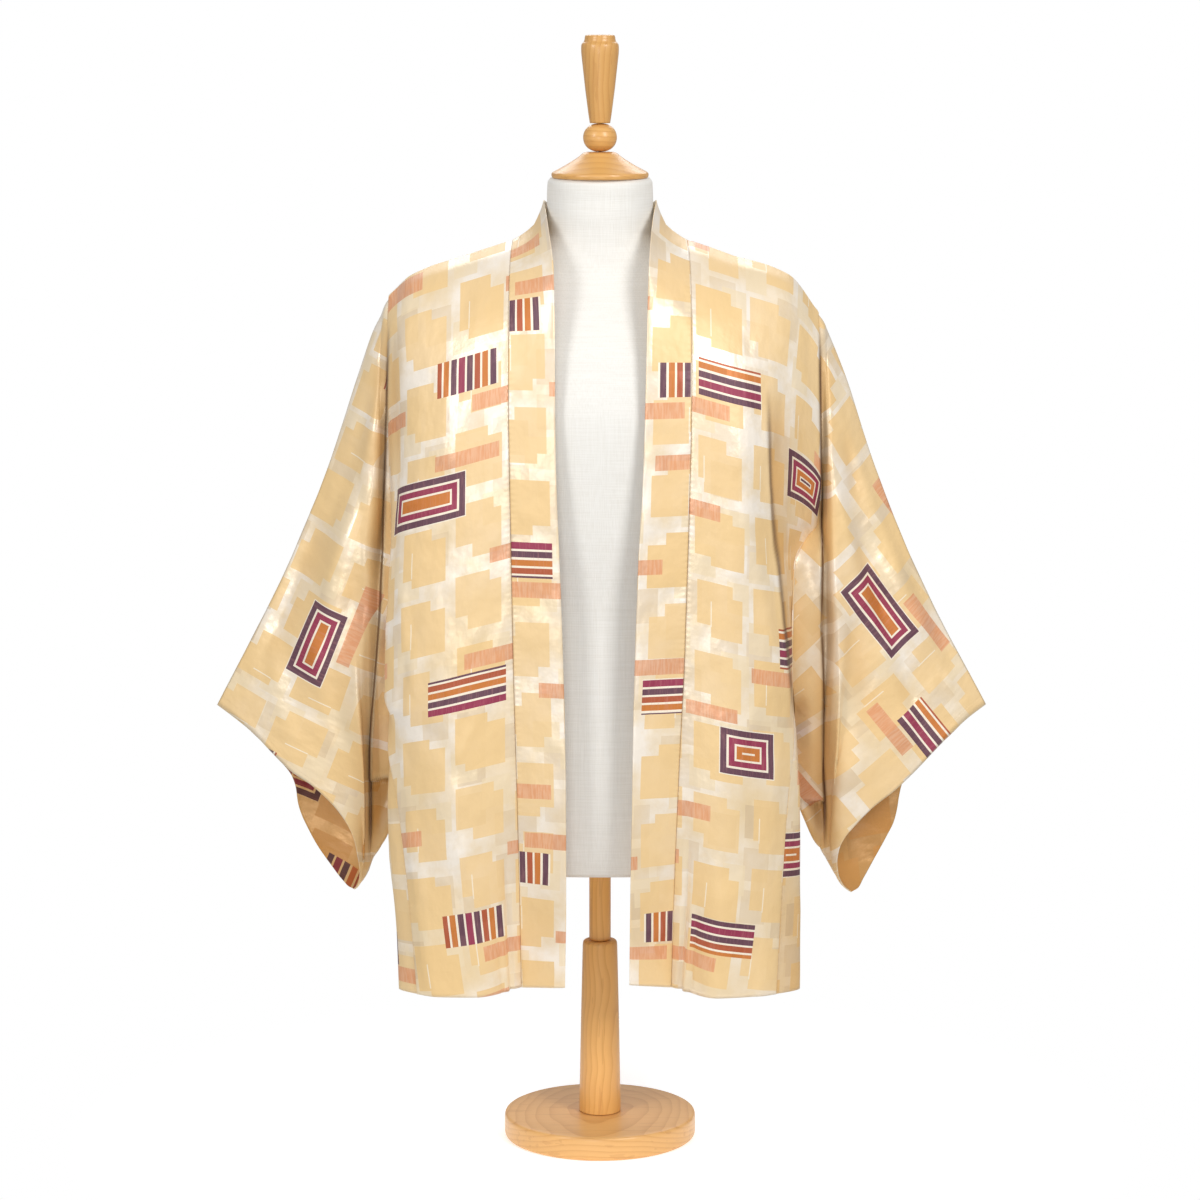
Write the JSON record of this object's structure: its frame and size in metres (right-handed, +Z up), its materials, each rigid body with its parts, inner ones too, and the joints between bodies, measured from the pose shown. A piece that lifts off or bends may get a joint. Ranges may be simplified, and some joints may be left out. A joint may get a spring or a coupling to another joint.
{
  "type": "haori jacket on dress form",
  "caption": "Hip-length haori jacket with wide square-cut sleeves and a straight collar band, worn open on a limbless dress form with a turned wooden stand and finial.",
  "frame": {"origin": "centre of the underside of the base disc, on the floor", "axes": "+Z up, the open front faces -Y, +X towards the wearer's left"},
  "size_m": [0.7931, 0.272, 1.1434],
  "materials": {
    "silk": "cream silk satin with a woven and printed block pattern, soft sheen",
    "linen": "off-white stretched linen, matt",
    "beech": "honey-coloured turned beech, satin varnish"
  },
  "bodies": {
    "root": {"body_panel_right": "silk", "body_panel_left": "silk", "side_gusset_right": "silk", "side_gusset_left": "silk", "collar_band": "silk", "sleeve_right": "silk", "sleeve_left": "silk", "form_torso": "linen", "base_disc": "beech", "tapered_post": "beech", "upper_rod": "beech", "neck_cap": "beech", "finial_ball": "beech", "finial_handle": "beech"}
  },
  "joints": []
}
